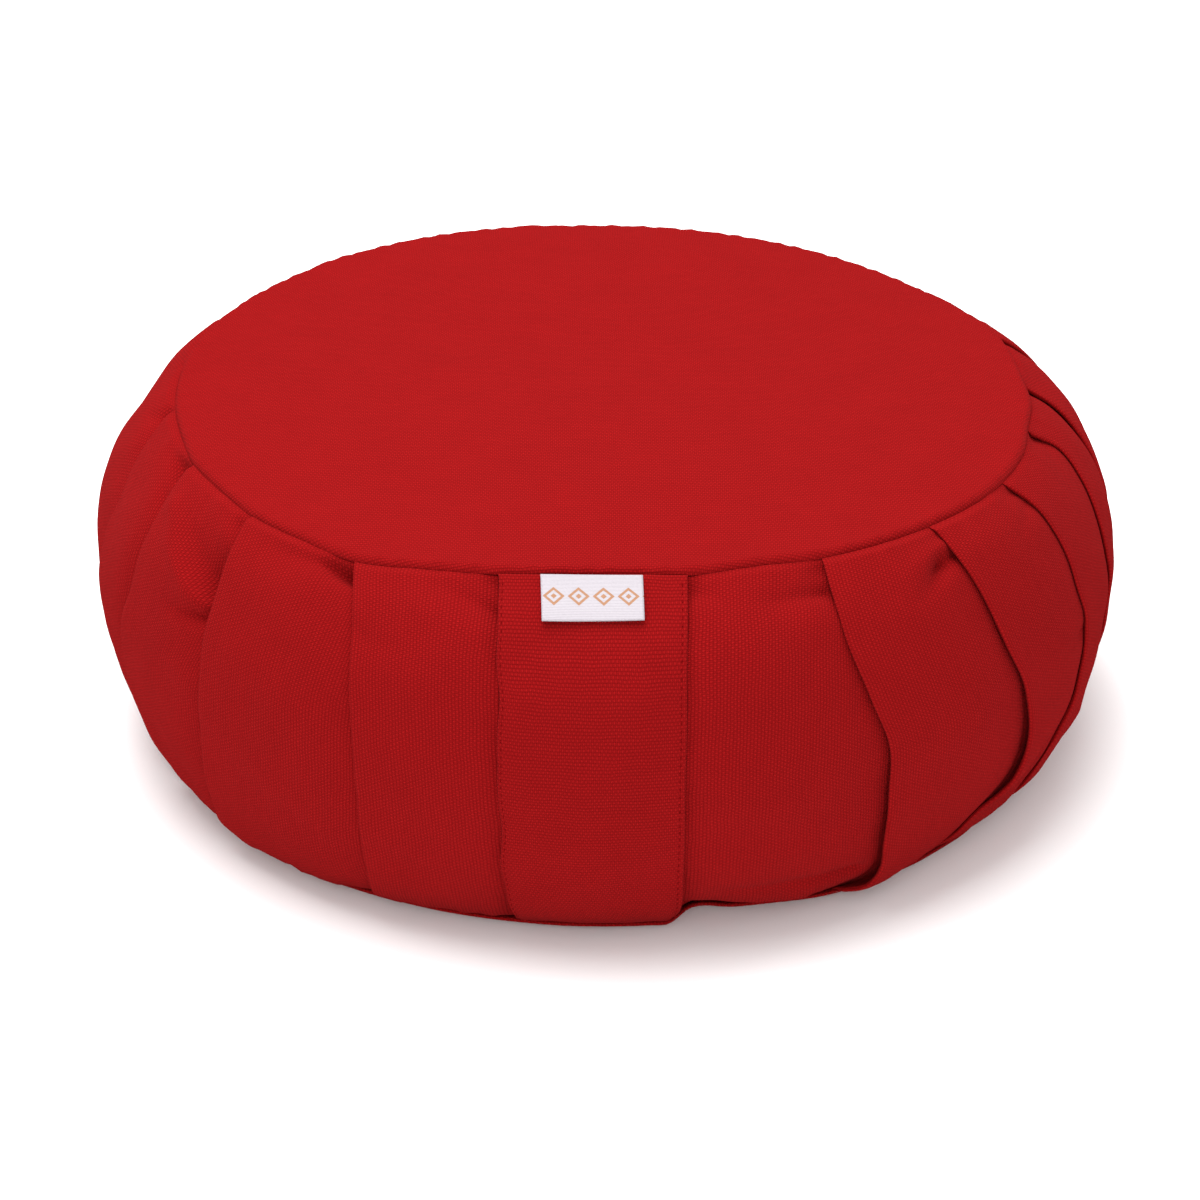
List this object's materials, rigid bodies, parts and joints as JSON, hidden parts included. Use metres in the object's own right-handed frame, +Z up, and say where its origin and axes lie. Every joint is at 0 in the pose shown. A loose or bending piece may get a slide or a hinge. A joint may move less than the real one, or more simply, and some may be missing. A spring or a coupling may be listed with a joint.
{
  "type": "meditation cushion",
  "caption": "Round zafu cushion with flat crowned panels, a knife-pleated side band, a front overlap panel and a sewn-in label.",
  "frame": {"origin": "middle of the flat underside, on the surface that the cushion stands on", "axes": "+Z up through the cushion, -Y towards the front, where the overlap panel and the label are"},
  "size_m": [0.3631, 0.3621, 0.1325],
  "materials": {
    "canvas": "matt plain-woven cotton canvas",
    "label_ribbon": "soft satin-woven ribbon"
  },
  "bodies": {
    "root": {"pleated_side": "canvas", "top_panel": "canvas", "bottom_panel": "canvas", "front_overlap": "canvas", "label": "label_ribbon"}
  },
  "joints": []
}
